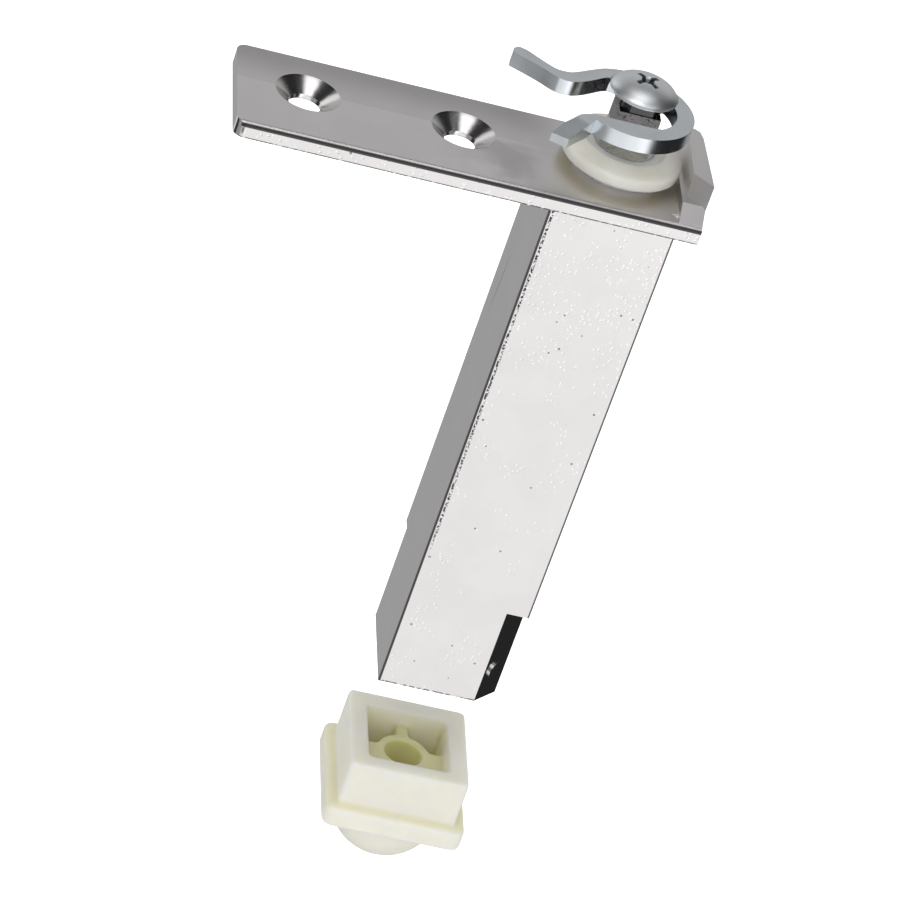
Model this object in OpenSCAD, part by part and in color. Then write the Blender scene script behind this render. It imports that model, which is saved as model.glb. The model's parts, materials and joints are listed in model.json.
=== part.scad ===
// Spring hinge cartridge with a hook lever, and its loose door bushing.
// Units: mm. Origin: on the pivot axis, in the plane of the plate's underside.
// +X runs along the plate from its screw holes to its end lip, +Y to the back, +Z up to the lever.

/* [Plate] */
// length of the plate along X
plate_l = 92.4; // [80:0.1:110]
// distance from the pivot axis to the plate's lip end
plate_x1 = 16.3; // [14:0.1:20]
// distance from the pivot axis to the plate's front edge
plate_front = 16.5; // [14:0.1:20]
// distance from the pivot axis to the plate's back edge
plate_back = 12.6; // [12:0.1:18]
// thickness of the plate
plate_t = 3.4; // [2.5:0.1:5]
// radius of the two corners at the screw end
plate_corner_r = 2.2; // [0.5:0.1:5]
// radius of the plate's front top edge
plate_edge_r = 0.9; // [0.2:0.1:1.5]
// height of the step at the lip end
pad_h = 0.7; // [0.3:0.1:2]
// distance from the pivot axis to the step
pad_x = 11.6; // [10:0.1:13]
// height of the lip's sloped foot above the plate's top face
foot_h = 2.9; // [2:0.1:5]

/* [Screw holes] */
// distance from the pivot axis to the nearer screw hole
hole_x1 = 30.9; // [26:0.1:36]
// distance between the two screw holes
hole_pitch = 31.1; // [25:0.1:40]
// diameter of the screw holes
hole_d = 6.6; // [5:0.1:8]
// diameter of the countersinks at the top face
csk_d = 13; // [10:0.1:16]
// depth of the countersinks
csk_h = 2.4; // [2:0.1:3.2]

/* [Barrel] */
// side of the square barrel
barrel_w = 25.2; // [22:0.1:30]
// length of the barrel below the plate's underside
barrel_l = 119.7; // [100:0.5:140]
// size of the front right corner chamfer, measured along each face
chamfer_c = 4.7; // [2:0.1:6]
// size of the back left corner chamfer, measured along each face
chamfer_back = 2.8; // [1:0.1:6]
// length of the corner chamfers above the barrel's end
chamfer_l = 23.1; // [10:0.1:40]
// diameter of the barrel's bore
bore_d = 20.4; // [18:0.1:21]
// diameter of the bore at the top bearing
seat_d = 17.6; // [16:0.1:20]
// depth of the top bearing's bore below the plate's underside
seat_depth = 13; // [8:0.5:20]

/* [End lip] */
// height of the lip above the plate's top face
lip_h = 8; // [5:0.1:12]
// thickness of the lip along X
lip_t = 3.8; // [2.5:0.1:5]
// distance from the pivot axis to the front end of the lip
lip_front = 13.2; // [10:0.1:16]
// distance from the pivot axis to the back end of the lip
lip_back = 7.5; // [5:0.1:12]

/* [Top bearing] */
// diameter of the bearing's disc
disc_d = 24; // [20:0.1:26]
// gap between the plate and the disc
disc_gap = 2; // [1:0.1:3]
// thickness of the disc
disc_t = 4; // [2:0.1:5]
// height of the disc's straight rim
disc_rim = 1.7; // [1:0.1:3]
// diameter of the dish in the disc's top
dish_d = 16.8; // [13:0.1:18]
// depth of the dish
dish_h = 0.6; // [0.3:0.1:2]

/* [Spindle] */
// diameter of the spindle's journal in the top bearing
journal_d = 12; // [11.8:0.05:13]
// side of the square post
post_w = 8.3; // [7:0.05:8.4]
// height of the post's top above the plate's top face
post_top = 14.3; // [12:0.1:16]
// diameter of the shaft inside the spring
shaft_d = 9.6; // [8:0.1:11]
// diameter of the tail in the anchor plug
tail_d = 8; // [6:0.1:9]
// radial running clearance of the spindle
run_c = 0.05; // [0.02:0.01:0.1]

/* [Lever and screw] */
// thickness of the hook lever
lever_t = 3.2; // [2.5:0.1:4]
// outer radius of the hook's ring
ring_r = 12.3; // [10:0.1:14]
// inner radius of the hook's ring
ring_in_r = 8.8; // [7:0.1:9.5]
// centre of the hook's ring along X
ring_x = -2.6; // [-5:0.1:0]
// centre of the hook's ring along Y
ring_y = -6; // [-8:0.1:-4]
// distance from the pivot axis to the hook's straight front inner edge
ring_flat_y = 13.4; // [12:0.1:14]
// radius of the lever's hub under the screw head
lever_hub_r = 4.5; // [4:0.1:6]
// diameter of the lever screw's head
head_d = 13.5; // [11:0.1:15]
// height of the lever screw's head
head_h = 3.1; // [2:0.1:4]
// depth of the flat that seats the head in the lever
spot_h = 0.5; // [0.1:0.1:1]
// distance from the pivot axis to the flat front of the lever's hub
hub_flat = 3.9; // [3.6:0.1:4.5]
// diameter of the lever screw's shank
screw_d = 6.3; // [5:0.05:6.4]

/* [Spring] */
// diameter of the spring's wire
wire_d = 2.6; // [1.5:0.1:3]
// mean radius of the spring's coils
coil_r = 7.4; // [7:0.1:8]
// number of turns of the spring
turns = 18; // [8:1:20]

/* [Anchor] */
// diameter of the diagonal anchor pin
pin_d = 4; // [3:0.1:5]
// distance from the barrel's end to the anchor pin's axis
pin_up = 7.2; // [5:0.1:10]
// length of the anchor plug
plug_l = 18.5; // [12:0.5:20]

/* [Door bushing] */
// gap between the barrel's end and the bushing's rim
bush_gap = 21.9; // [10:0.1:40]
// how far the loose bushing lies beside the pivot axis, along X
bush_x = 0.9; // [0:0.1:3]
// side of the bushing's square body
bush_w = 25.6; // [22:0.1:30]
// height of the bushing's body above its flange
bush_h = 11.2; // [8:0.1:16]
// side of the bushing's cavity
bush_in = 17.6; // [15:0.1:20]
// side of the bushing's flange
flange_w = 30.2; // [28:0.1:36]
// thickness of the bushing's flange
flange_t = 4.6; // [2.5:0.1:6]
// diameter of the boss under the flange
boss_d = 24; // [18:0.1:26]
// height of the boss's straight part under the flange
boss_rim = 1.3; // [0.5:0.1:4]
// height of the boss under the flange
boss_h = 11.9; // [6:0.1:13]
// outer diameter of the bushing's centre tube
tube_d = 11.6; // [10:0.1:14]
// diameter of the bushing's pivot bore
pivot_d = 8.2; // [6:0.1:9]
// depth of the centre tube's top below the rim
tube_down = 4; // [2:0.1:8]

/* [Hidden] */
$fn = 64;
e = 0.5;
x1 = plate_x1;
x0 = plate_x1 - plate_l;
b = barrel_w / 2;
seat_r = seat_d / 2 - 0.02;
dish_r = dish_d / 2;
z_bot = -barrel_l;
z_disc = plate_t + disc_gap;
z_top = z_disc + disc_t;
z_journal = z_top - dish_h - 0.1;
z_post = plate_t + post_top;
z_lever = z_post + lever_t;
z_head = z_lever - spot_h;
z_washer = -seat_depth - 1;
z_collar = z_washer - run_c;
z_driver = z_collar - 4;
z_spring1 = z_driver - 8;
z_plug = z_bot + 1 + plug_l;
z_rim = z_bot - bush_gap;
z_flange = z_rim - bush_h;
z_boss = z_flange - flange_t;
bush_bot = z_boss - boss_h;

// points of an arc from angle a0 to a1
function arc(cx, cy, r, a0, a1, n) =
    [for (i = [0 : n]) let (a = a0 + (a1 - a0) * i / n) [cx + r * cos(a), cy + r * sin(a)]];
// a smooth line through the points of p
function cr(p, i, t) = 0.5 * (2 * p[i] + (p[i + 1] - p[i - 1]) * t
    + (2 * p[i - 1] - 5 * p[i] + 4 * p[i + 1] - p[i + 2]) * t * t
    + (3 * p[i] - p[i - 1] - 3 * p[i + 1] + p[i + 2]) * t * t * t);
function smooth(p, n) = [for (i = [1 : len(p) - 3], k = [0 : n - 1]) cr(p, i, k / n)];

// distance from the pivot axis to a chamfer of size c on a corner of the barrel
function face(c) = (2 * b - c) / sqrt(2);

// a rounded rectangle with its middle at the origin
module rrect(w, d, r) {
    square([w - 2 * r, d], center = true);
    square([w, d - 2 * r], center = true);
    for (sx = [-1, 1], sy = [-1, 1]) translate([sx * (w / 2 - r), sy * (d / 2 - r)]) circle(r);
}

// one zinc casting: plate, square barrel, raised pad and end lip
module housing() color([0.66, 0.65, 0.65]) difference() {
    union() {
        linear_extrude(plate_t) union() {
            translate([x0 + plate_corner_r, -plate_front])
                square([plate_l - plate_corner_r, plate_front + plate_back]);
            translate([x0, -plate_front + plate_corner_r])
                square([plate_l, plate_front + plate_back - 2 * plate_corner_r]);
            for (y = [-plate_front + plate_corner_r, plate_back - plate_corner_r])
                translate([x0 + plate_corner_r, y]) circle(plate_corner_r);
        }
        // low step towards the lip end, behind the plate's front edge
        translate([0, plate_back, 0]) rotate([90, 0, 0]) linear_extrude(plate_back + lip_front)
            polygon([
                [pad_x - 1.5, plate_t - e], [x1, plate_t - e], [x1, plate_t + pad_h],
                [pad_x, plate_t + pad_h], [pad_x - 0.6, plate_t + 0.2], [pad_x - 1.5, plate_t]
            ]);
        // sloped foot in front of the lip
        translate([pad_x, 0, 0]) rotate([90, 0, 90]) linear_extrude(x1 - pad_x)
            polygon([
                [-plate_front + plate_edge_r, plate_t - e], [-plate_front + plate_edge_r, plate_t],
                [-lip_front + 0.6, plate_t + foot_h], [lip_back, plate_t + foot_h], [lip_back, plate_t - e]
            ]);
        // lip with a slanted front end, tapered towards the back
        linear_extrude(plate_t + lip_h)
            polygon([
                [x1 - lip_t, -lip_front + 3.4], [x1, -lip_front], [x1 - 0.7, lip_back - 3],
                [x1 - 1.2, lip_back - 0.8], [x1 - 2.2, lip_back], [x1 - lip_t, lip_back]
            ]);
        difference() {
            translate([-b, -b, z_bot]) cube([2 * b, 2 * b, barrel_l + e]);
            for (c = [[-45, chamfer_c], [135, chamfer_back]])
                rotate([0, 0, c[0]]) translate([face(c[1]), -b, z_bot - e]) cube([b, 2 * b, chamfer_l + e]);
        }
    }
    // rounded front top edge
    translate([x0 - e, -plate_front, plate_t - plate_edge_r]) difference() {
        translate([0, -e, 0]) cube([plate_l + 2 * e, plate_edge_r + e, plate_edge_r + e]);
        translate([-e, plate_edge_r, 0]) rotate([0, 90, 0]) cylinder(h = plate_l + 2, r = plate_edge_r);
    }
    for (i = [0, 1]) translate([-hole_x1 - i * hole_pitch, 0, 0]) {
        translate([0, 0, -e]) cylinder(h = plate_t + 2 * e, d = hole_d);
        translate([0, 0, plate_t - csk_h]) cylinder(h = csk_h, d1 = hole_d, d2 = csk_d);
        translate([0, 0, plate_t - 0.001]) cylinder(h = e, d = csk_d);
    }
    translate([0, 0, -seat_depth - e]) cylinder(h = seat_depth + plate_t + 2 * e, d = seat_d);
    translate([0, 0, z_bot - e]) cylinder(h = barrel_l - seat_depth + e, d = bore_d);
    // cross hole for the diagonal anchor pin
    translate([0, 0, z_bot + pin_up]) rotate([0, 90, -45]) cylinder(h = 60, d = pin_d, center = true);
}

// plug in the barrel's end that anchors the spring and guides the spindle's tail
module anchor_plug() color([0.55, 0.56, 0.58]) difference() {
    union() {
        translate([0, 0, z_bot + 1]) cylinder(h = plug_l, d = bore_d - 0.06);
        // lug that the spring's lower end bears on
        translate([coil_r - wire_d / 2, -2.5, z_plug - e]) cube([wire_d, 2.4, wire_d + e]);
    }
    translate([0, 0, z_plug - 7.3]) cylinder(h = 8, d = tail_d + 2 * run_c);
    translate([0, 0, z_bot + pin_up]) rotate([0, 90, -45]) cylinder(h = 60, d = pin_d, center = true);
    translate([0, 0, z_bot + 1 - e]) cylinder(h = 2 + e, d1 = 7, d2 = 4);
}

// diagonal pin that locks the plug in the barrel
module anchor_pin() color([0.8, 0.8, 0.82]) translate([0, 0, z_bot + pin_up]) rotate([0, 90, -45])
    translate([0, 0, -face(chamfer_back) + 0.2])
        cylinder(h = face(chamfer_back) + face(chamfer_c) + 0.2, d = pin_d - 0.02);

// nylon flanged bearing in the plate
module top_bearing() color([0.85, 0.84, 0.79]) difference() {
    rotate_extrude() polygon(concat(
        [[0, -seat_depth], [seat_r, -seat_depth], [seat_r, z_disc], [disc_d / 2 - 0.4, z_disc]],
        arc(disc_d / 2 - 0.4, z_disc + 0.4, 0.4, -90, 0, 6),
        arc(disc_d / 2 - 1.2, z_disc + disc_rim, 1.2, 0, 50, 8),
        [[dish_r + 0.5, z_top - 0.15], [dish_r + 0.1, z_top], [dish_r - 0.2, z_top - 0.1]],
        [[dish_r - 0.4, z_top - dish_h], [0, z_top - dish_h]]
    ));
    translate([0, 0, -seat_depth - e]) cylinder(h = seat_depth + z_top + 2 * e, d = journal_d + 2 * run_c);
}

// washer between the bearing and the spindle's collar
module thrust_washer() color([0.7, 0.7, 0.7]) translate([0, 0, z_washer]) difference() {
    cylinder(h = 1, d = bore_d - 0.3);
    translate([0, 0, -e]) cylinder(h = 2, d = journal_d + 4 * run_c);
}

// turned spindle: square post, journal, collar, shaft and tail
module spindle() color([0.5, 0.5, 0.52]) difference() {
    union() {
        translate([-post_w / 2, -post_w / 2, z_journal - e]) cube([post_w, post_w, z_post - z_journal + e]);
        translate([0, 0, z_spring1]) cylinder(h = z_journal - z_spring1, d = journal_d);
        translate([0, 0, z_driver]) cylinder(h = z_collar - z_driver, d = bore_d - 1.6);
        translate([0, 0, z_plug + 1]) cylinder(h = z_spring1 - z_plug, d = shaft_d);
        translate([0, 0, z_plug - 7]) cylinder(h = 10, d = tail_d);
    }
    translate([0, 0, z_post - 13]) cylinder(h = 14, d = screw_d + 0.04);
    translate([0, 0, z_driver - 4]) rotate([90, 0, 0]) cylinder(h = 30, d = 2.5, center = true);
}

// collar that carries the spring's upper end
module spring_driver() color([0.6, 0.6, 0.62]) difference() {
    union() {
        translate([0, 0, z_spring1]) cylinder(h = z_driver - z_spring1, d = bore_d - 1.6);
        translate([coil_r - wire_d / 2, 0.1, z_spring1 - wire_d]) cube([wire_d, 2.4, wire_d + e]);
    }
    translate([0, 0, z_spring1 - e]) cylinder(h = z_driver - z_spring1 + 2 * e, d = journal_d + 0.04);
    translate([0, 0, z_driver - 4]) rotate([90, 0, 0]) cylinder(h = 30, d = 2.5, center = true);
}

// cross pin that keys the collar to the spindle
module driver_pin() color([0.75, 0.75, 0.77]) translate([0, 0, z_driver - 4]) rotate([90, 0, 0])
    cylinder(h = bore_d - 2, d = 2.46, center = true);

// closed-wound torsion spring, as a swept wire
module torsion_spring() color([0.3, 0.3, 0.32]) {
    seg = 18;
    n = turns * seg;
    m = 8;
    zs = z_plug + wire_d / 2 + 0.02;
    ze = z_spring1 - wire_d / 2 - 0.02;
    pts = [for (i = [0 : n], k = [0 : m - 1])
        let (a = 360 * i / seg, q = 360 * k / m, r = coil_r + wire_d / 2 * cos(q))
        [r * cos(a), r * sin(a), zs + (ze - zs) * i / n + wire_d / 2 * sin(q)]];
    polyhedron(points = pts, faces = concat(
        [[for (k = [0 : m - 1]) k]],
        [for (i = [0 : n - 1], k = [0 : m - 1])
            [i * m + k, (i + 1) * m + k, (i + 1) * m + (k + 1) % m, i * m + (k + 1) % m]],
        [[for (k = [m - 1 : -1 : 0]) n * m + k]]));
}

// flat hook lever in one outline: ring, wavy tail, hub under the screw, straight inner edge, flared claw
tail_back = [
    [-4, 6.2], [-7.3, 5.4], [-9.9, 3.8], [-13.1, 1.5], [-15, 0.5], [-17.3, 0.5], [-19.1, 1.6],
    [-21.2, 3.3], [-23.2, 5], [-24.9, 5.7], [-26, 6]
];
tail_front = [
    [-28, 4], [-26.1, 3], [-23.3, 1.4], [-20.4, -0.5], [-18.4, -2.1], [-16.5, -3.1], [-14.4, -3],
    [-12.3, -2], [-9.8, -0.1], [-7.6, 1.7], [-6, 2.3], [-4.4, 1.9]
];
claw_back = [
    [-8, -13.4], [-9.9, -13.3], [-11.6, -13.7], [-13.5, -14.5], [-15.3, -16.8], [-17.4, -19.6],
    [-20, -24.2], [-21, -26]
];
claw_front = [[-17.5, -27], [-16.6, -25.3], [-14.5, -21.6], [-12.3, -18.1], [-10.8, -15.6], [-10, -14]];
hub_angle = asin(hub_flat / lever_hub_r);
module lever_plan() polygon(concat(
    arc(ring_x, ring_y, ring_r, -131, 110, 60),
    smooth(tail_back, 4), [[-24.9, 5.7], [-25.9, 4.8]],
    smooth(tail_front, 4),
    arc(0, 0, lever_hub_r, 158, 180 + hub_angle, 8),
    arc(0, 0, lever_hub_r, 360 - hub_angle, 344, 8),
    arc(ring_x, ring_y, ring_in_r, 33, -53, 24),
    [[1, -ring_flat_y], [-8.8, -ring_flat_y]],
    smooth(claw_back, 4), [[-20, -24.2]],
    smooth(claw_front, 4)));
module hook_lever() color([0.62, 0.65, 0.68]) translate([0, 0, z_post]) difference() {
    linear_extrude(lever_t) lever_plan();
    translate([0, 0, -e]) cylinder(h = lever_t + 2 * e, d = screw_d + 0.2);
    // flat that seats the screw's head
    translate([0, 0, lever_t - spot_h]) cylinder(h = spot_h + e, d = head_d + 0.2);
    // the claw gets thinner underneath, towards its tip
    translate([-13, -18, 0]) rotate([0, 0, -123]) rotate([0, -9, 0]) translate([0, -8, -4]) cube([14, 16, 4]);
}

// truss head screw with a cross recess
module lever_screw() color([0.7, 0.72, 0.75]) {
    hr = head_d / 2;
    difference() {
        translate([0, 0, z_head]) rotate_extrude() polygon(concat([[0, 0], [hr - 0.2, 0], [hr, 0.2]],
            [for (i = [0 : 24]) let (t = sin(90 - 90 * i / 24))
                [hr * t, 0.45 + (head_h - 0.45) * pow(1 - pow(t, 2.2), 0.62)]]));
        for (a = [37, 127])
            rotate([0, 0, a]) translate([-2.7, -0.5, z_head + head_h - 1.7]) cube([5.4, 1, 3]);
        translate([0, 0, z_head + head_h - 2]) cylinder(h = 3, d1 = 1.4, d2 = 3.4);
    }
    translate([0, 0, z_post - 12]) cylinder(h = 12 + lever_t - spot_h + 0.1, d = screw_d);
}

// tube, side webs and the filled front half of the bushing's cavity
module bushing_core() {
    circle(d = tube_d);
    translate([-bush_in / 2 - e, -bush_in / 2 - e]) square([bush_in + 2 * e, bush_in / 2 + e + 1.6]);
    translate([-1.3, 0]) square([2.6, bush_in / 2 + e]);
}

// loose nylon bushing for the door's other end
module door_bushing() color([0.87, 0.86, 0.77]) translate([bush_x, 0, 0]) difference() {
    union() {
        translate([0, 0, z_boss]) linear_extrude(z_rim - z_boss) rrect(bush_w, bush_w, 1);
        translate([0, 0, z_boss]) linear_extrude(flange_t) rrect(flange_w, flange_w, 2.6);
        rotate_extrude() polygon(concat([[0, z_boss + e], [boss_d / 2, z_boss + e]],
            arc(0, z_boss - boss_rim, boss_d / 2, 0, -asin((boss_h - boss_rim) * 2 / boss_d), 16),
            [[0, bush_bot]]));
    }
    // recess over the tube, then the pockets behind it
    translate([0, 0, z_rim - tube_down]) linear_extrude(tube_down + e) rrect(bush_in, bush_in, 0.8);
    translate([0, 0, z_boss + 2]) linear_extrude(z_rim - z_boss) difference() {
        rrect(bush_in, bush_in, 0.8);
        bushing_core();
    }
    translate([0, 0, bush_bot - e]) cylinder(h = 60, d = pivot_d);
}

housing();
anchor_plug();
anchor_pin();
top_bearing();
thrust_washer();
spindle();
spring_driver();
driver_pin();
torsion_spring();
hook_lever();
lever_screw();
door_bushing();
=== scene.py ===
"""A sprung hinge cartridge: zinc casting, nylon disc bearing, hook lever and loose pivot bushing."""

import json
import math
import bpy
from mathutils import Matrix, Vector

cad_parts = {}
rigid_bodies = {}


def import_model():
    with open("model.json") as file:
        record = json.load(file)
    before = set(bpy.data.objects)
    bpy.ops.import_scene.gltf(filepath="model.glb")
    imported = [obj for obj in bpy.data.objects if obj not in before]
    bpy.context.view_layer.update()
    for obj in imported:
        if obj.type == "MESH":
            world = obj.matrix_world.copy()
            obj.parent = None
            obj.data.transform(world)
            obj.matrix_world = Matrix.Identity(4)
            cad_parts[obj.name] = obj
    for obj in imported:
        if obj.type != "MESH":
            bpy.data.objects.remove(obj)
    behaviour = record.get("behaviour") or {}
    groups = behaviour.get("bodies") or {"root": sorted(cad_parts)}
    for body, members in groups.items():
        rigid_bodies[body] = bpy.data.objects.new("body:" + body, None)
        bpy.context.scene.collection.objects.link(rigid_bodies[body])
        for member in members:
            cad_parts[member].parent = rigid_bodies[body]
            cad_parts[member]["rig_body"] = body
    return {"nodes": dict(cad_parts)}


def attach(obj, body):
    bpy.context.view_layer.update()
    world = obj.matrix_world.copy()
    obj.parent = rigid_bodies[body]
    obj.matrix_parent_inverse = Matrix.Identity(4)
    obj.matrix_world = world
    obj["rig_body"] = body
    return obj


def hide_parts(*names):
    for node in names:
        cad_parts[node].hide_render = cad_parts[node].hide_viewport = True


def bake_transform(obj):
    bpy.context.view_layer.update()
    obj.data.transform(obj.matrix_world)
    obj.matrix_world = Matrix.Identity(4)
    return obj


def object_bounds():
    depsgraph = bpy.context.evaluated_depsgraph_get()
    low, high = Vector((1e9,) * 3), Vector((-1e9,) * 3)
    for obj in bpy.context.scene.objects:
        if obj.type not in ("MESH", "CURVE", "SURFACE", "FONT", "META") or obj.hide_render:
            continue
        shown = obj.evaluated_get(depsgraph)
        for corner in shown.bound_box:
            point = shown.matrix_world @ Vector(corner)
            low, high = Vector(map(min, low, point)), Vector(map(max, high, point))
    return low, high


bl_info = {
    "name": "Sprung hinge cartridge",
    "version": (1, 0, 0),
    "blender": (4, 5, 0),
    "location": "3D View > Sidebar > Hinge",
    "description": "Finishes for a hinge cartridge with a hook lever and a loose bushing",
    "category": "Object",
}

import bmesh
import bpy
from bpy.props import FloatProperty, FloatVectorProperty, PointerProperty
from mathutils import Matrix, Vector

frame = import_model()
CAD_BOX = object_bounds()
MM = 0.001

# Heights and faces that the finishes follow
BARREL_HALF = 12.6 * MM
BARREL_END = -119.7 * MM
PLATE_TOP = 3.4 * MM
PLATE_FRONT = -16.5 * MM
POST_PALE = 12.5 * MM
POST_TOP = 17.7 * MM
LEVER_TOP = 20.9 * MM
HEAD_TOP = 23.5 * MM
BUSH_X = 0.9 * MM
BUSH_RIM = -141.6 * MM
FLANGE_TOP = -152.8 * MM

SHARP_ANGLE = math.radians(35)
FLAT_ANGLE = math.radians(0.3)


# Shader maths


class Socket:
    """A node's output. Arithmetic on it adds Math nodes to its tree."""

    def __init__(self, tree, output):
        self.tree = tree
        self.output = output

    def math(self, operation, *values):
        return self.tree.add("ShaderNodeMath", {"operation": operation}, [self, *values])

    def __add__(self, other):
        return self.math("ADD", other)

    def __sub__(self, other):
        return self.math("SUBTRACT", other)

    def __mul__(self, other):
        return self.math("MULTIPLY", other)

    def __rsub__(self, other):
        return self.tree.add("ShaderNodeMath", {"operation": "SUBTRACT"}, [other, self])

    __radd__ = __add__
    __rmul__ = __mul__

    def abs(self):
        return self.math("ABSOLUTE")

    def at_most(self, limit):
        return self.math("MINIMUM", limit)

    def at_least(self, limit):
        return self.math("MAXIMUM", limit)

    def smooth(self, low, high):
        """0 below low, 1 above high and a smooth step between; a low above high turns it over."""
        settings = {"interpolation_type": "SMOOTHSTEP"}
        if low < high:
            return self.tree.add("ShaderNodeMapRange", settings, [self, low, high, 0, 1])
        return self.tree.add("ShaderNodeMapRange", settings, [self, high, low, 1, 0])

    def near(self, centre, full, none):
        """1 up to full away from centre, falling smoothly to 0 at none away."""
        return (self - centre).abs().smooth(none, full)


class Tree:
    """Adds nodes to a material's or the world's node tree."""

    def __init__(self, owner):
        owner.use_nodes = True
        self.tree = owner.node_tree
        self.tree.nodes.clear()

    def add(self, kind, settings=None, values=(), output=0):
        """Adds one node: its settings first, then the values or links of its sockets."""
        node = self.tree.nodes.new(kind)
        for name, value in (settings or {}).items():
            setattr(node, name, value)
        pairs = values.items() if isinstance(values, dict) else enumerate(values)
        for key, value in pairs:
            if isinstance(value, Socket):
                self.tree.links.new(value.output, node.inputs[key])
            else:
                node.inputs[key].default_value = value
        return Socket(self, node.outputs[output]) if len(node.outputs) else None

    def other(self, socket, output):
        """Another output of the node that a socket belongs to."""
        return Socket(self, socket.output.node.outputs[output])

    def point(self):
        """The point on the piece in metres."""
        return self.add("ShaderNodeTexCoord", output="Object")

    def split(self, vector):
        """The three numbers of a vector."""
        x = self.add("ShaderNodeSeparateXYZ", None, [vector])
        return x, self.other(x, 1), self.other(x, 2)

    def noise(self, point, per_mm, detail=3, stretch=(1, 1, 1)):
        """Cloudy noise with about per_mm bumps in a millimetre."""
        moved = self.add("ShaderNodeMapping", None, {"Vector": point, "Scale": stretch})
        values = {"Vector": moved, "Scale": per_mm / MM, "Detail": detail, "Roughness": 0.55}
        return self.add("ShaderNodeTexNoise", None, values)

    def cells(self, point, per_mm):
        """Distance to the nearest of scattered points, per_mm of them in a millimetre."""
        return self.add("ShaderNodeTexVoronoi", None, {"Vector": point, "Scale": per_mm / MM})

    def mix(self, factor, first, second):
        """Goes from the first colour to the second as factor goes from 0 to 1."""
        values = {0: factor, 6: first, 7: second}
        return self.add("ShaderNodeMix", {"data_type": "RGBA"}, values, output=2)

    def bump(self, height, depth_mm, strength, normal=None):
        """Tilts the surface by the slope of height, on top of an earlier normal if there is one."""
        values = {"Height": height, "Distance": depth_mm * MM, "Strength": strength}
        if normal is not None:
            values["Normal"] = normal
        return self.add("ShaderNodeBump", None, values)

    def surface(self, **values):
        """The Principled shader with the given sockets, joined to the output."""
        named = {name.replace("_", " "): value for name, value in values.items()}
        shader = self.add("ShaderNodeBsdfPrincipled", None, named)
        self.add("ShaderNodeOutputMaterial", None, [shader])


def finish_named(name):
    material = bpy.data.materials.new(name)
    return material, Tree(material)


def darker(colour, share):
    """The colour with its three channels multiplied by share."""
    return tuple(channel * share for channel in colour[:3]) + (1,)


# Sizes and colours


class HingeLooks(bpy.types.PropertyGroup):
    casting_colour: FloatVectorProperty(
        name="Casting", description="Colour of the plated casting", subtype="COLOR", size=4,
        default=(0.80, 0.777, 0.775, 1), min=0, max=1,
    )
    lever_colour: FloatVectorProperty(
        name="Lever", description="Colour of the zinc plated lever", subtype="COLOR", size=4,
        default=(0.72, 0.76, 0.79, 1), min=0, max=1,
    )
    screw_colour: FloatVectorProperty(
        name="Screw", description="Colour of the zinc plated screw", subtype="COLOR", size=4,
        default=(0.90, 0.93, 0.95, 1), min=0, max=1,
    )
    bearing_colour: FloatVectorProperty(
        name="Bearing", description="Colour of the nylon disc", subtype="COLOR", size=4,
        default=(0.88, 0.86, 0.79, 1), min=0, max=1,
    )
    bushing_colour: FloatVectorProperty(
        name="Bushing", description="Colour of the nylon bushing", subtype="COLOR", size=4,
        default=(0.92, 0.90, 0.82, 1), min=0, max=1,
    )
    casting_edge: FloatProperty(
        name="Casting edge", description="Width of the casting's softened edges", subtype="DISTANCE",
        unit="LENGTH", default=0.5 * MM, min=0.05 * MM, max=0.8 * MM,
    )
    lever_edge: FloatProperty(
        name="Lever edge", description="Width of the lever's softened edges", subtype="DISTANCE",
        unit="LENGTH", default=0.35 * MM, min=0.05 * MM, max=0.6 * MM,
    )
    screw_edge: FloatProperty(
        name="Screw edge", description="Width of the screw's softened edges", subtype="DISTANCE",
        unit="LENGTH", default=0.08 * MM, min=0.02 * MM, max=0.3 * MM,
    )
    post_edge: FloatProperty(
        name="Post edge", description="Width of the post's softened edges", subtype="DISTANCE",
        unit="LENGTH", default=0.22 * MM, min=0.05 * MM, max=0.5 * MM,
    )
    bearing_grid: FloatProperty(
        name="Bearing grid", description="Spacing of the disc's remeshed faces", subtype="DISTANCE",
        unit="LENGTH", default=0.25 * MM, min=0.2 * MM, max=0.8 * MM,
    )
    bushing_grid: FloatProperty(
        name="Bushing grid", description="Spacing of the bushing's remeshed faces", subtype="DISTANCE",
        unit="LENGTH", default=0.36 * MM, min=0.25 * MM, max=0.8 * MM,
    )
    lens: FloatProperty(
        name="Lens", description="Focal length of the camera in millimetres", default=194.8, min=20, max=400
    )
    distance: FloatProperty(
        name="Distance", description="Distance from the camera to its aim", subtype="DISTANCE",
        unit="LENGTH", default=1.0, min=0.3, max=3,
    )


def looks():
    return bpy.context.scene.hinge_looks


# Pieces


def merged_copy(node, name, rides=True):
    """A new piece with a CAD node's shape, its corners merged and its flat faces joined up."""
    mesh = frame["nodes"][node].data.copy()
    mesh.materials.clear()
    shape = bmesh.new()
    shape.from_mesh(mesh)
    bmesh.ops.remove_doubles(shape, verts=shape.verts, dist=0.002 * MM)
    bmesh.ops.dissolve_limit(shape, angle_limit=FLAT_ANGLE, verts=shape.verts, edges=shape.edges)
    for face in shape.faces:
        face.smooth = True
    shape.to_mesh(mesh)
    shape.free()
    mesh.name = name
    piece = bpy.data.objects.new(name, mesh)
    bpy.context.scene.collection.objects.link(piece)
    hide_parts(node)
    if rides:
        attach(piece, frame["nodes"][node]["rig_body"])
    return piece


def eased_copy(node, name, width, segments=3):
    """A copy of a CAD node with every sharp edge rounded by width."""
    piece = merged_copy(node, name)
    bevel = piece.modifiers.new("eased edges", "BEVEL")
    bevel.width = width
    bevel.segments = segments
    bevel.limit_method = "ANGLE"
    bevel.angle_limit = SHARP_ANGLE
    bevel.use_clamp_overlap = True
    bevel.miter_outer = "MITER_ARC"
    normals = piece.modifiers.new("even faces", "WEIGHTED_NORMAL")
    normals.weight = 50
    normals.keep_sharp = False
    return piece


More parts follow.
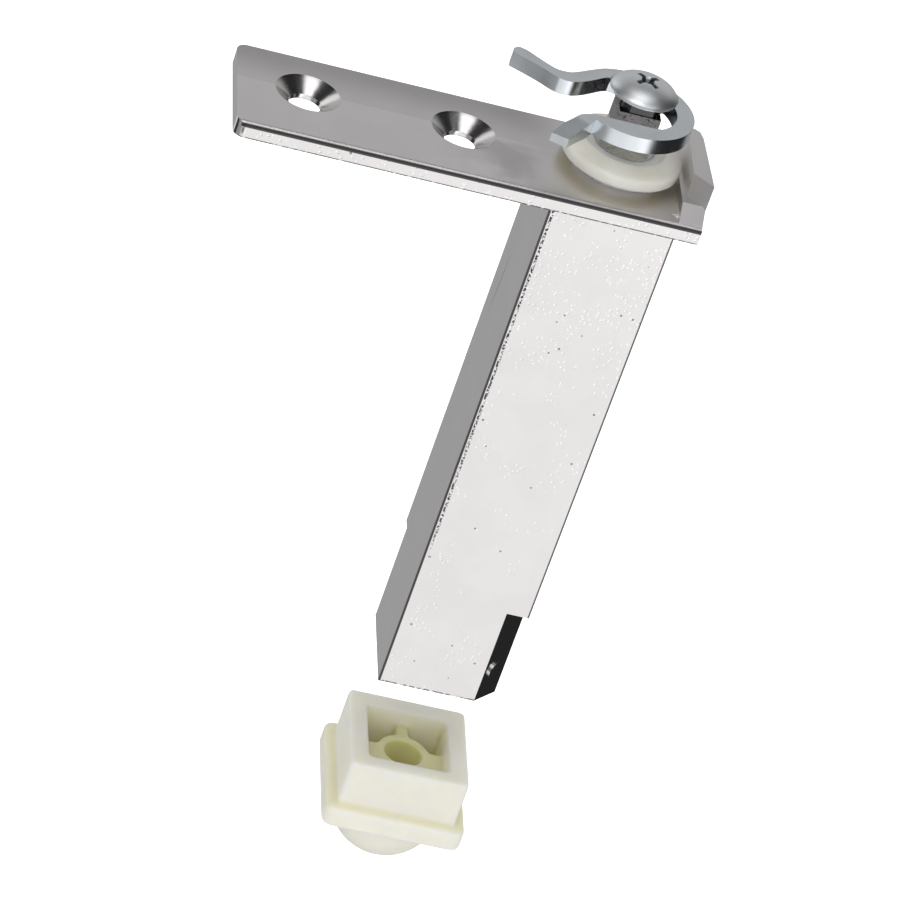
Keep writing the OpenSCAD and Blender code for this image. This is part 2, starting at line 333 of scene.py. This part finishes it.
def moulded_copy(node, name, grid, rounds):
    """A copy of a CAD node remeshed evenly and relaxed, so that edges and inside corners are soft."""
    piece = merged_copy(node, name)
    remesh = piece.modifiers.new("even faces", "REMESH")
    remesh.mode = "VOXEL"
    remesh.voxel_size = grid
    remesh.use_smooth_shade = True
    relax = piece.modifiers.new("soft edges", "SMOOTH")
    relax.factor = 0.5
    relax.iterations = rounds
    return piece


def give(piece, material):
    """Sets a new piece's only material."""
    piece.data.materials.clear()
    piece.data.materials.append(material)


def give_node(node, material):
    """Sets the material of a CAD node that stays."""
    for slot in frame["nodes"][node].material_slots:
        slot.material = material


# Finishes


def plate_shade(tree, point):
    """The casting's plate tone, with the plate's top darker behind the crease and smudged in front of it."""
    x, y, z = tree.split(point)
    colour = tuple(looks().casting_colour)
    cloud = tree.noise(point, 0.09)
    shade = tree.mix(cloud.smooth(0.35, 0.65) * 0.25, colour, darker(colour, 0.86))
    face = z.near(PLATE_TOP, 0.1 * MM, 0.5 * MM) * x.smooth(-8 * MM, -22 * MM)
    behind = y.smooth(0.1 * MM, 0.4 * MM) * (0.10 + y.smooth(0, 12 * MM) * 0.32)
    crease = y.smooth(-0.1 * MM, 0.1 * MM) * y.smooth(0.4 * MM, 0.15 * MM) * -0.1
    smudge = tree.noise(point, 0.1, 2).smooth(0.3, 0.6) * x.smooth(-38 * MM, -22 * MM)
    smudge = smudge * y.smooth(0.5 * MM, -2 * MM) * 0.3
    return tree.mix(face * (behind + crease + smudge), shade, (0.12, 0.115, 0.12, 1))


def barrel_front(y, z):
    """1 on the front faces of the barrel and the plate."""
    return y.smooth(-BARREL_HALF + 0.3 * MM, -BARREL_HALF) * z.smooth(2.6 * MM, 2.3 * MM)


def painted_edge_lines_and_nicks(tree, point, nicks):
    """Dark lines where the casting's faces meet: painted reflections along the rounded edges and painted
    shade under the plate, broken by nicks; and the specks beside its left corner.
    """
    x, y, z = tree.split(point)
    left = (x + BARREL_HALF).abs() + (y + BARREL_HALF).abs()
    right = (x - BARREL_HALF).abs() + (y + BARREL_HALF).abs()
    # painted reflection: dark lines down the barrel's rounded front corners
    corners = left.smooth(0.5 * MM, 0.35 * MM) * 0.95 + right.smooth(0.42 * MM, 0.3 * MM) * 0.85
    below = z.smooth(0.1 * MM, -0.2 * MM)
    dots = tree.noise(point, 1.9).smooth(0.49, 0.54) * z.smooth(-88 * MM, -78 * MM)
    specks = left.near(0.88 * MM, 0.18 * MM, 0.3 * MM) * barrel_front(y, z) * dots
    # painted reflection: the dark line along the plate's rounded top front edge
    plate_edge_reflection = z.near(2.72 * MM, 0.34 * MM, 0.44 * MM)
    plate_edge_reflection = plate_edge_reflection * y.smooth(PLATE_FRONT + 0.4 * MM, PLATE_FRONT + 0.24 * MM)
    # painted shade: a dark line where the plate's front face turns under, broken by nicks
    plate_foot_shade = z.near(0, 0.18 * MM, 0.32 * MM) * y.smooth(PLATE_FRONT + 0.4 * MM, PLATE_FRONT + 0.1 * MM)
    # painted shade where the barrel meets the plate, broken by nicks; its band also darkens the plate's
    # underside
    barrel_root_shade = z.near(-0.15 * MM, 0.2 * MM, 0.35 * MM) * nicks.smooth(0.4, 0.5)
    barrel_foot = (z - BARREL_END).smooth(0.5 * MM, 0.2 * MM) * nicks.smooth(0.44, 0.52)
    lines = (corners + specks) * below + plate_edge_reflection * 0.93 + plate_foot_shade * nicks.smooth(0.3, 0.5) * 0.7
    return lines + barrel_root_shade * 0.7 + barrel_foot * 0.8, specks


def plated_casting():
    """Bright zinc plate on a die casting: dimples, dark corner lines that are painted reflections and
    painted shade, broken by nicks, a crease and a scratch.
    """
    material, tree = finish_named("plated_casting")
    point = tree.point()
    x, y, z = tree.split(point)
    cloud = tree.noise(point, 0.09)
    nicks = tree.noise(point, 1.1, 4)
    lines, specks = painted_edge_lines_and_nicks(tree, point, nicks)

    # dimples from the die, thickest near the plate, and a few dark pits
    front = barrel_front(y, z)
    busy = tree.noise(point, 0.14, 2) + z.smooth(-70 * MM, -8 * MM) * 0.12
    dimple = tree.cells(point, 0.85).smooth(0.36, 0.12) * busy.smooth(0.53, 0.59) * front
    pit = tree.cells(point, 0.33).smooth(0.09, 0.05) * front * busy.smooth(0.46, 0.56)

    # the scratch slants down the barrel's left side
    path = y - 5.4 * MM + (z + 26 * MM) * 0.105 + (nicks - 0.5) * 0.15 * MM
    scratch = path.near(0, 0.1 * MM, 0.26 * MM) * x.smooth(-12 * MM, -12.4 * MM)
    scratch = scratch * z.smooth(-39 * MM, -34 * MM) * z.smooth(-24 * MM, -28 * MM)

    # the edge lines mixed in here are painted dark reflections and painted shade; the pits and the scratch
    # are real marks
    mark = (lines + pit * 0.5 + scratch * 0.75).at_most(0.95)
    base = tree.mix(mark, plate_shade(tree, point), (0.03, 0.03, 0.035, 1))
    waves = tree.noise(point, 0.35, 2) * 0.7 + tree.noise(point, 2.2, 4) * 0.05
    relief = tree.bump(waves, 0.10, 0.3)
    relief = tree.bump(dimple * -0.6 - pit - specks * 0.6, 0.10, 0.6, relief)
    dull_top = x.smooth(-26 * MM, -14 * MM) * z.smooth(PLATE_TOP - 0.1 * MM, PLATE_TOP - 0.02 * MM)
    dull_edge = y.smooth(-15.4 * MM, -15.7 * MM) * z.smooth(2.9 * MM, 3.1 * MM)
    rough = 0.15 + cloud * 0.08 + dull_top * 0.14 + dull_edge * 0.25
    tree.surface(Base_Color=base, Metallic=1.0, Roughness=rough, Normal=relief)
    return material


def plated_strip():
    """Bright zinc plate on a stamping: cool grey, faint grain, painted shade on the hub's side under the
    screw head, and dark at the claw's end.
    """
    material, tree = finish_named("plated_strip")
    point = tree.point()
    x, y, z = tree.split(point)
    colour = tuple(looks().lever_colour)
    cloud = tree.noise(point, 0.25)
    base = tree.mix(cloud.smooth(0.4, 0.7) * 0.25, colour, darker(colour, 0.8))
    reach = (x * x + y * y).math("SQRT")
    # painted shade: the hub's side under the screw head, darkened as if in the head's shadow
    hub = reach.smooth(5.4 * MM, 5.0 * MM) * z.smooth(LEVER_TOP - 0.2 * MM, LEVER_TOP - 0.5 * MM)
    claw_end = (x * 0.62 + y * 0.78).smooth(-20.6 * MM, -22.2 * MM)
    base = tree.mix(hub * 0.93 + claw_end * 0.3, base, (0.03, 0.032, 0.035, 1))
    relief = tree.bump(tree.noise(point, 3.0) * 0.12 + tree.noise(point, 0.35, 2), 0.05, 0.2)
    tree.surface(Base_Color=base, Metallic=1.0, Roughness=0.16 + cloud * 0.12, Normal=relief)
    return material


def plated_screw():
    """Zinc plate on a rolled screw head, duller than the lever, with painted shade in dark blue grey inside
    the recess.
    """
    material, tree = finish_named("plated_screw")
    point = tree.point()
    x, y, z = tree.split(point)
    colour = tuple(looks().screw_colour)
    cloud = tree.noise(point, 0.3)
    grain = tree.noise(point, 4.0)
    base = tree.mix(cloud.smooth(0.4, 0.7) * 0.25, colour, darker(colour, 0.8))
    reach = (x * x + y * y).math("SQRT")
    # painted shade inside the cross recess
    recess = reach.smooth(3.2 * MM, 2.6 * MM) * z.smooth(HEAD_TOP - 0.3 * MM, HEAD_TOP - 0.7 * MM)
    base = tree.mix(recess * 0.6, base, (0.05, 0.10, 0.15, 1))
    relief = tree.bump(grain, 0.03, 0.02)
    tree.surface(Base_Color=base, Metallic=1.0, Roughness=0.40 + grain * 0.04, Normal=relief)
    return material


def bearing_nylon():
    """Natural nylon: soft gloss, light passes well into it, faint cloudy tone."""
    material, tree = finish_named("bearing_nylon")
    point = tree.point()
    cloud = tree.noise(point, 0.12)
    base = tree.mix(cloud.smooth(0.35, 0.7) * 0.5, tuple(looks().bearing_colour), (0.74, 0.72, 0.64, 1))
    grain = tree.noise(point, 1.5)
    tree.surface(
        Base_Color=base, Roughness=0.40 + grain * 0.08, Normal=tree.bump(grain, 0.04, 0.2),
        Subsurface_Weight=0.9, Subsurface_Radius=(1.0, 0.92, 0.55), Subsurface_Scale=3.5 * MM,
    )
    return material


def bushing_nylon():
    """Natural nylon with painted shade that turns it olive down inside the cavity and the bore and in the
    crease at the flange's top.
    """
    material, tree = finish_named("bushing_nylon")
    point = tree.point()
    x, y, z = tree.split(point)
    cloud = tree.noise(point, 0.1)
    base = tree.mix(cloud.smooth(0.35, 0.7) * 0.4, tuple(looks().bushing_colour), (0.83, 0.81, 0.70, 1))
    # painted shade: olive deepening inside the cavity and the bore, where little light reaches
    across = (x - BUSH_X).abs().at_least(y.abs())
    inside = across.smooth(9.0 * MM, 8.2 * MM) * z.smooth(BUSH_RIM - 0.5 * MM, BUSH_RIM - 5 * MM) * 0.9
    # painted shade in the crease at the flange's top, on the front
    crease = z.near(FLANGE_TOP, 0, 1.6 * MM) * y.smooth(-15 * MM, -13 * MM) * 0.35
    depth = (inside + crease).at_most(1.0) * z.smooth(FLANGE_TOP - 4 * MM, FLANGE_TOP - 1 * MM)
    base = tree.mix(depth, base, (0.74, 0.72, 0.36, 1))
    grain = tree.noise(point, 1.5)
    tree.surface(
        Base_Color=base, Roughness=0.42 + grain * 0.08, Normal=tree.bump(grain, 0.04, 0.2),
        Subsurface_Weight=0.9, Subsurface_Radius=(1.0, 0.93, 0.6), Subsurface_Scale=4.0 * MM,
    )
    return material


def plain_steel(name, colour, rough=0.3):
    """Machined steel with a drawn grain along Z."""
    material, tree = finish_named(name)
    grain = tree.noise(tree.point(), 2.0, stretch=(1, 1, 0.3))
    base = tree.mix(grain.smooth(0.4, 0.7) * 0.3, colour, darker(colour, 0.7))
    relief = tree.bump(grain, 0.04, 0.3)
    tree.surface(Base_Color=base, Metallic=1.0, Roughness=rough + grain * 0.1, Normal=relief)
    return material


def spindle_steel():
    """Dark steel post, paler at its foot, with a rough, black-specked band round its top."""
    material, tree = finish_named("spindle_finish")
    point = tree.point()
    z = tree.split(point)[2]
    cloud = tree.noise(point, 0.5)
    post = tree.mix(cloud.smooth(0.4, 0.7) * 0.4, (0.20, 0.195, 0.195, 1), (0.11, 0.107, 0.107, 1))
    band = z.smooth(POST_TOP - 2.0 * MM, POST_TOP - 1.6 * MM)
    specks = tree.noise(point, 1.2, 4).smooth(0.55, 0.6) * band
    foot = z.smooth(POST_PALE + 0.5 * MM, POST_PALE - 0.5 * MM)
    base = tree.mix(foot, post, (0.54, 0.535, 0.50, 1))
    base = tree.mix((specks * 0.7 + band * 0.2).at_most(0.95), base, (0.02, 0.02, 0.02, 1))
    relief = tree.bump(tree.noise(point, 0.9) * (0.02 + band), 0.08, 0.6)
    tree.surface(Base_Color=base, Metallic=1.0, Roughness=0.22 + cloud * 0.1, Normal=relief)
    return material


# Operators


class HINGE_OT_casting(bpy.types.Operator):
    """Gives the casting softened edges and its plated finish, and finishes what it holds"""

    bl_idname = "hinge.casting"
    bl_label = "Casting"

    def execute(self, context):
        casting = eased_copy("housing", "casting_skin", looks().casting_edge)
        give(casting, plated_casting())
        give_node("anchor_plug", plain_steel("plug_finish", (0.35, 0.36, 0.38, 1)))
        give_node("anchor_pin", plain_steel("pin_finish", (0.75, 0.76, 0.78, 1), 0.15))
        give_node("thrust_washer", plain_steel("washer_finish", (0.5, 0.51, 0.53, 1)))
        return {"FINISHED"}


class HINGE_OT_spring(bpy.types.Operator):
    """Makes the return spring as a copy of the CAD spring that rides with no body"""

    bl_idname = "hinge.spring"
    bl_label = "Return spring"

    def execute(self, context):
        spring = merged_copy("torsion_spring", "return_spring", rides=False)
        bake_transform(spring)
        give(spring, plain_steel("spring_finish", (0.16, 0.16, 0.17, 1)))
        return {"FINISHED"}


class HINGE_OT_bearing(bpy.types.Operator):
    """Makes the nylon disc bearing with its rounded rim and hub"""

    bl_idname = "hinge.bearing"
    bl_label = "Disc bearing"

    def execute(self, context):
        disc = moulded_copy("top_bearing", "disc_bearing", looks().bearing_grid, 2)
        give(disc, bearing_nylon())
        return {"FINISHED"}


class HINGE_OT_lever(bpy.types.Operator):
    """Makes the hook lever, its screw and the post with softened edges, and finishes the spring's driver"""

    bl_idname = "hinge.lever"
    bl_label = "Lever, screw and post"

    def execute(self, context):
        lever = eased_copy("hook_lever", "hook_lever_skin", looks().lever_edge)
        give(lever, plated_strip())
        screw = eased_copy("lever_screw", "screw_skin", looks().screw_edge, 2)
        give(screw, plated_screw())
        post = eased_copy("spindle", "spindle_skin", looks().post_edge)
        give(post, spindle_steel())
        give_node("spring_driver", plain_steel("driver_finish", (0.35, 0.36, 0.38, 1)))
        give_node("driver_pin", plain_steel("key_finish", (0.5, 0.5, 0.52, 1)))
        return {"FINISHED"}


class HINGE_OT_bushing(bpy.types.Operator):
    """Makes the loose nylon bushing with soft moulded edges"""

    bl_idname = "hinge.bushing"
    bl_label = "Door bushing"

    def execute(self, context):
        bushing = moulded_copy("door_bushing", "bushing_skin", looks().bushing_grid, 14)
        give(bushing, bushing_nylon())
        return {"FINISHED"}


class HINGE_OT_stage(bpy.types.Operator):
    """Sets up the pale floor, the soft light and the camera"""

    bl_idname = "hinge.stage"
    bl_label = "Stage"

    def execute(self, context):
        self.floor()
        self.sky(context.scene)
        self.lamps()
        self.camera(context.scene)
        return {"FINISHED"}

    def floor(self):
        """A square far below, seen by the camera and left out of reflections and soft light."""
        half = 6.0
        level = CAD_BOX[0][2] - 1.2
        corners = [(-half, -half, level), (half, -half, level), (half, half, level), (-half, half, level)]
        mesh = bpy.data.meshes.new("floor")
        mesh.from_pydata(corners, [], [(0, 1, 2, 3)])
        floor = bpy.data.objects.new("floor", mesh)
        bpy.context.scene.collection.objects.link(floor)
        material, tree = finish_named("pale_floor")
        tree.surface(
            Base_Color=(0.9, 0.9, 0.9, 1), Roughness=0.9,
            Emission_Color=(1, 1, 1, 1), Emission_Strength=0.9,
        )
        mesh.materials.append(material)
        floor.visible_glossy = False
        floor.visible_diffuse = False

    def sky(self, scene):
        """A white table in front, a grey room behind, darkness at both sides and a soft box overhead."""
        scene.view_settings.view_transform = "Standard"
        scene.world = scene.world or bpy.data.worlds.new("soft_room")
        tree = Tree(scene.world)
        x, y, z = tree.split(tree.add("ShaderNodeTexCoord", output="Generated"))
        table = z.smooth(-0.24, -0.38) * z.smooth(-0.93, -0.8) * y.smooth(-0.25, -0.5)
        table = table * (1.0 + x.smooth(0.22, 0.42) * 0.35) * x.smooth(0.66, 0.5) * x.smooth(-0.62, -0.42)
        window = y.smooth(-0.15, -0.4) * z.smooth(0.32, 0.48) * x.smooth(0.7, 0.5) * x.smooth(-0.7, -0.5)
        room = y.smooth(0.35, 0.6) * (0.36 + z.smooth(-0.3, 0.55) * 0.12) * x.smooth(0.85, 0.6)
        left = x.smooth(-0.4, -0.55) * y.smooth(0.0, -0.15)
        glint = x.smooth(-0.45, -0.55) * x.smooth(-0.8, -0.7) * y.smooth(0.4, 0.5)
        horizon = y.smooth(-0.3, -0.6) * z.smooth(-0.3, -0.1) * z.smooth(0.45, 0.25)
        level = table + window * 1.2 + room + left * 0.32 + glint * 0.5 + horizon * 0.12
        level = level * (1 - z.smooth(0.62, 0.7) * z.smooth(0.96, 0.93) * 0.75)
        level = level.at_least(z.smooth(0.94, 0.965) * 1.6) + 0.02
        soft = tree.add("ShaderNodeLightPath", output="Is Diffuse Ray")
        level = level * (1 - soft) + soft * (0.74 - z * 0.15 - y * 0.12)
        seen = tree.add("ShaderNodeLightPath", output="Is Camera Ray")
        values = {"Color": (1, 1, 1, 1), "Strength": level.at_least(seen)}
        light = tree.add("ShaderNodeBackground", None, values)
        tree.add("ShaderNodeOutputWorld", None, [light])

    def lamps(self):
        for name, place, power, size in (
            ("key", (-0.4, -0.8, 1.1), 3.0, 0.6),
            ("fill", (0.3, -1.1, -0.1), 1.2, 0.8),
        ):
            data = bpy.data.lights.new(name, "AREA")
            data.energy = power
            data.size = size
            lamp = bpy.data.objects.new(name, data)
            lamp.location = place
            lamp.rotation_euler = (-Vector(place)).to_track_quat("-Z", "Y").to_euler()
            bpy.context.scene.collection.objects.link(lamp)

    def camera(self, scene):
        """Looks at the aim from above and a little left of the front, rolled so the hinge leans right."""
        azimuth, elevation, roll = (math.radians(a) for a in (-13.194, 32.507, 19.918))
        ahead = Vector(
            (
                -math.sin(azimuth) * math.cos(elevation),
                math.cos(azimuth) * math.cos(elevation),
                -math.sin(elevation),
            )
        )
        aim = Vector((-8.08, 16.35, -79.83)) * MM
        data = bpy.data.cameras.new("camera")
        data.lens = looks().lens
        data.sensor_width = 36
        camera = bpy.data.objects.new("camera", data)
        camera.location = aim - ahead * looks().distance
        turn = ahead.to_track_quat("-Z", "Y").to_matrix() @ Matrix.Rotation(roll, 3, "Z")
        camera.rotation_euler = turn.to_euler()
        scene.collection.objects.link(camera)
        scene.camera = camera


class HINGE_PT_panel(bpy.types.Panel):
    """Lists the steps that make the hinge"""

    bl_idname = "HINGE_PT_panel"
    bl_label = "Hinge cartridge"
    bl_space_type = "VIEW_3D"
    bl_region_type = "UI"
    bl_category = "Hinge"

    def draw(self, context):
        for step in STEPS:
            self.layout.operator(step.bl_idname)


STEPS = (
    HINGE_OT_casting,
    HINGE_OT_spring,
    HINGE_OT_bearing,
    HINGE_OT_lever,
    HINGE_OT_bushing,
    HINGE_OT_stage,
)
CLASSES = (HingeLooks, *STEPS, HINGE_PT_panel)


def register():
    for each in CLASSES:
        bpy.utils.register_class(each)
    bpy.types.Scene.hinge_looks = PointerProperty(type=HingeLooks)


def unregister():
    del bpy.types.Scene.hinge_looks
    for each in reversed(CLASSES):
        bpy.utils.unregister_class(each)


def main():
    register()
    bpy.ops.hinge.casting()
    bpy.ops.hinge.spring()
    bpy.ops.hinge.bearing()
    bpy.ops.hinge.lever()
    bpy.ops.hinge.bushing()
    bpy.ops.hinge.stage()


if __name__ == "__main__":
    main()
